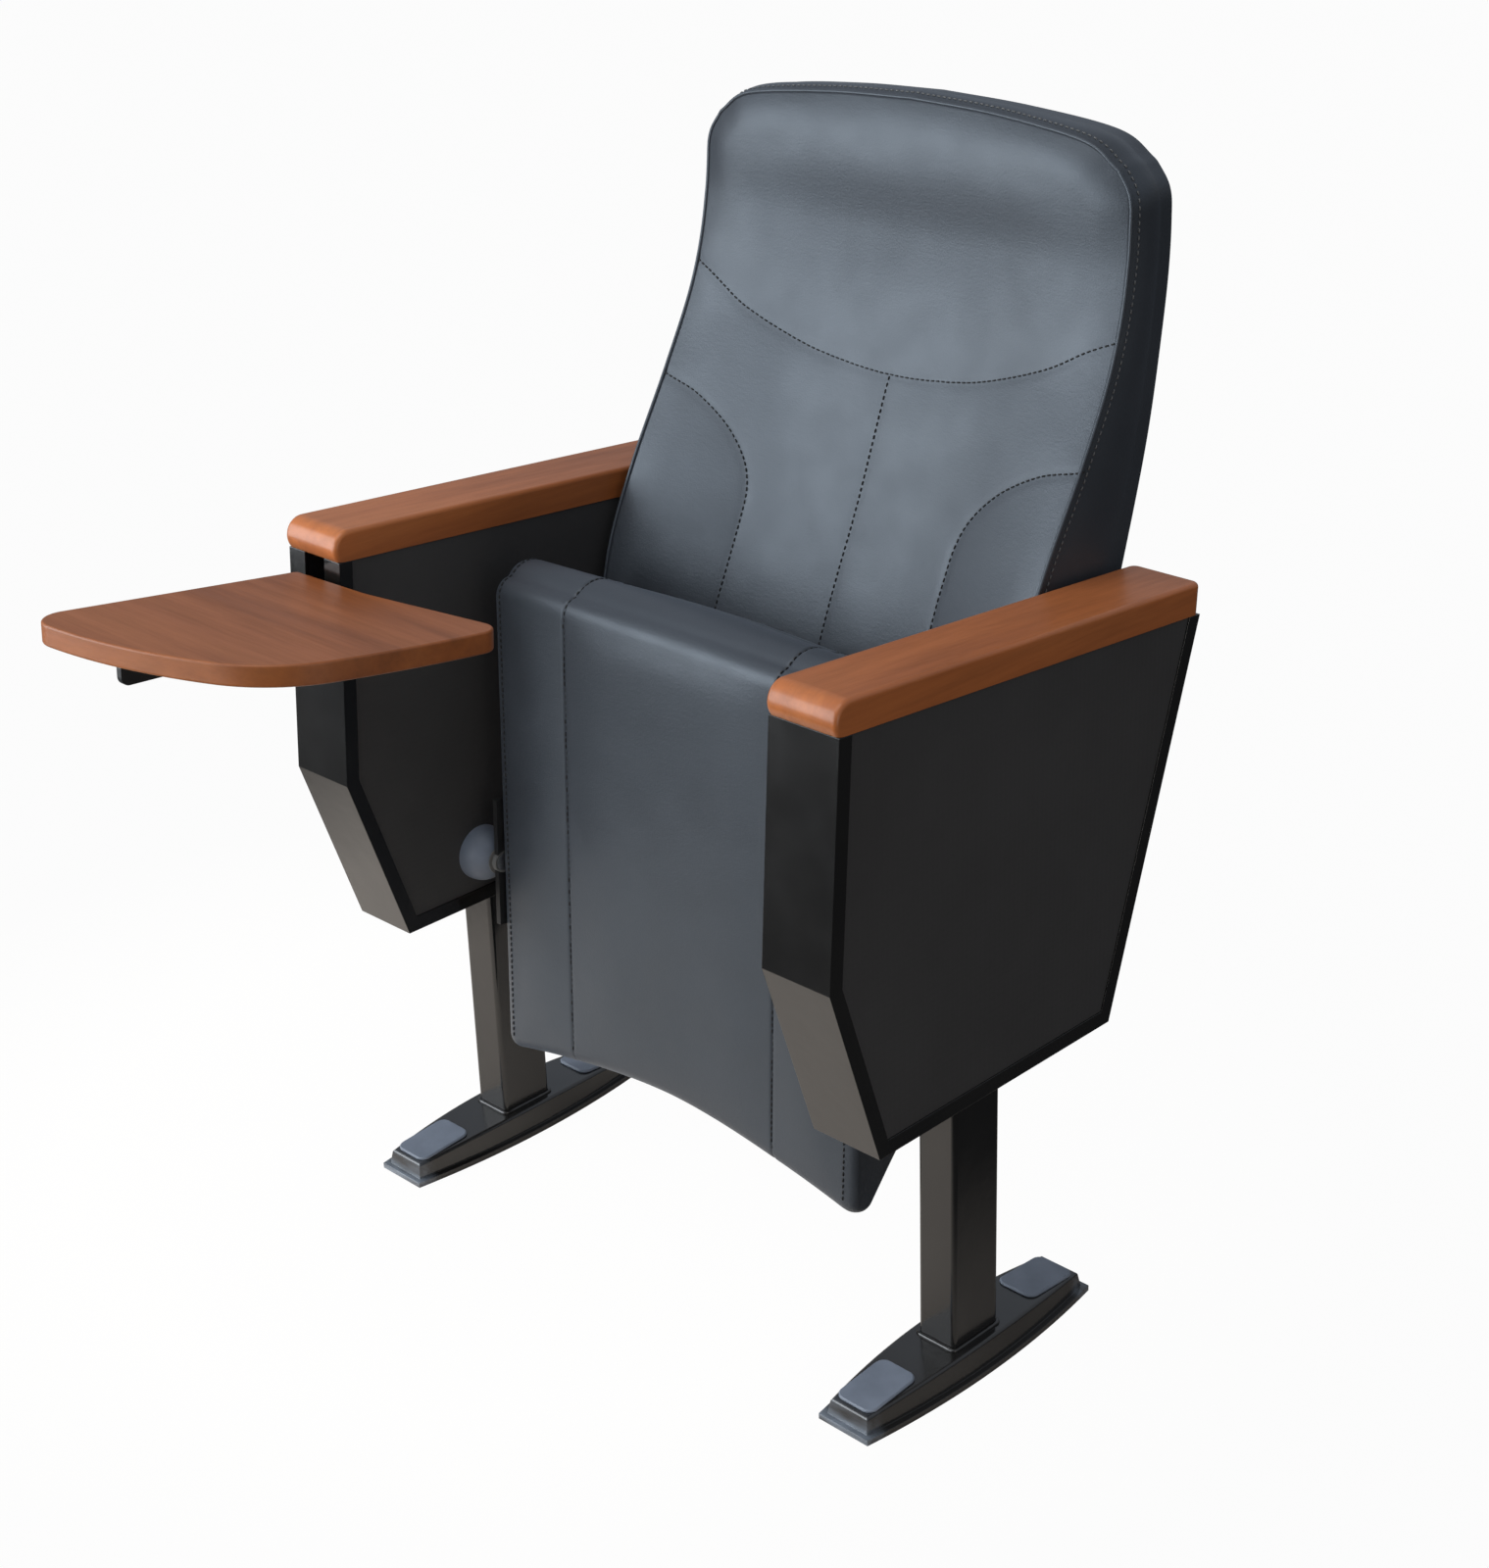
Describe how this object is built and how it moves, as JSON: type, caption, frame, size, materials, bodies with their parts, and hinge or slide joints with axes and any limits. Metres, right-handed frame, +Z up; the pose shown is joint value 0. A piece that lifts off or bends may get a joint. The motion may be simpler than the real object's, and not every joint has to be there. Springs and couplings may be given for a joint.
{
  "type": "tip up auditorium seat",
  "caption": "Auditorium seat with a padded seat that tips up between two arm boxes, a padded back, wooden armrests and a fold-up writing tablet.",
  "frame": {"origin": "on the floor, midway between the arm boxes, below the middle of the tipped-up seat", "axes": "+Z up, the sitter faces -Y, +X is the sitter's left"},
  "size_m": [0.6344, 0.7161, 0.947],
  "materials": {
    "gloss_black_steel": "gloss",
    "panel_board": "matte",
    "stained_wood": "satin",
    "zinc_steel": "satin",
    "spring_steel": "satin",
    "black_steel": "satin",
    "grey_plastic": "matte",
    "nylon": "satin",
    "rubber_sleeve": "matte",
    "upholstery": "satin",
    "plywood": "matte",
    "black_plastic": "satin"
  },
  "bodies": {
    "stand": {"arm_frame_left": "gloss_black_steel", "arm_frame_right": "gloss_black_steel", "post_left": "gloss_black_steel", "post_right": "gloss_black_steel", "foot_left": "gloss_black_steel", "foot_right": "gloss_black_steel", "arm_panel_outer_left": "panel_board", "arm_panel_outer_right": "panel_board", "arm_panel_inner_left": "panel_board", "arm_panel_inner_right": "panel_board", "armrest_left": "stained_wood", "armrest_straps": "zinc_steel", "armrest_screws": "zinc_steel", "pivot_pins": "zinc_steel", "stop_pegs": "zinc_steel", "bracket_bolts": "zinc_steel", "board_screws": "zinc_steel", "cover_screws": "zinc_steel", "tablet_arm_pin": "zinc_steel", "tablet_hinge_pins": "zinc_steel", "lid_hinge_pins": "zinc_steel", "back_nut_plates": "zinc_steel", "return_springs": "spring_steel", "pivot_plate_left": "black_steel", "pivot_plate_right": "black_steel", "back_bracket_left": "black_steel", "back_bracket_right": "black_steel", "tablet_arm": "black_steel", "tablet_bracket": "black_steel", "lid_hinge_frame_leaves": "black_steel", "foot_plugs": "grey_plastic", "pivot_bosses": "grey_plastic", "tablet_spacers": "nylon", "stop_sleeves": "rubber_sleeve", "back_cushion": "upholstery", "back_board": "plywood", "back_rear_cover": "black_plastic"},
    "seat": {"seat_cushion": "upholstery", "seat_board": "plywood", "hinge_plate_left": "black_steel", "hinge_plate_right": "black_steel", "pivot_bushes": "nylon", "hinge_plate_screws": "zinc_steel"},
    "tablet": {"tablet_board": "stained_wood", "tablet_hinge_leaves": "black_steel", "tablet_screws": "zinc_steel"},
    "lid": {"armrest_lid_right": "stained_wood", "lid_hinge_lid_leaves": "black_steel"}
  },
  "joints": [
    {"name": "seat_tip", "type": "hinge", "parent": "stand", "child": "seat", "pos_m": [0, -0.05, 0.309], "axis": [1, 0, 0], "range_deg": [0, 86], "stiffness_Nm_per_rad": 2, "springref_deg": -29.79},
    {"name": "tablet_flip", "type": "hinge", "parent": "stand", "child": "tablet", "pos_m": [-0.266, -0.27564, 0.58261], "axis": [0, -0.9972, 0.075], "range_deg": [0, 90]},
    {"name": "lid_open", "type": "hinge", "parent": "stand", "child": "lid", "pos_m": [-0.3118, -0.07328, 0.6065], "axis": [0, -0.9972, 0.075], "range_deg": [0, 95]}
  ]
}
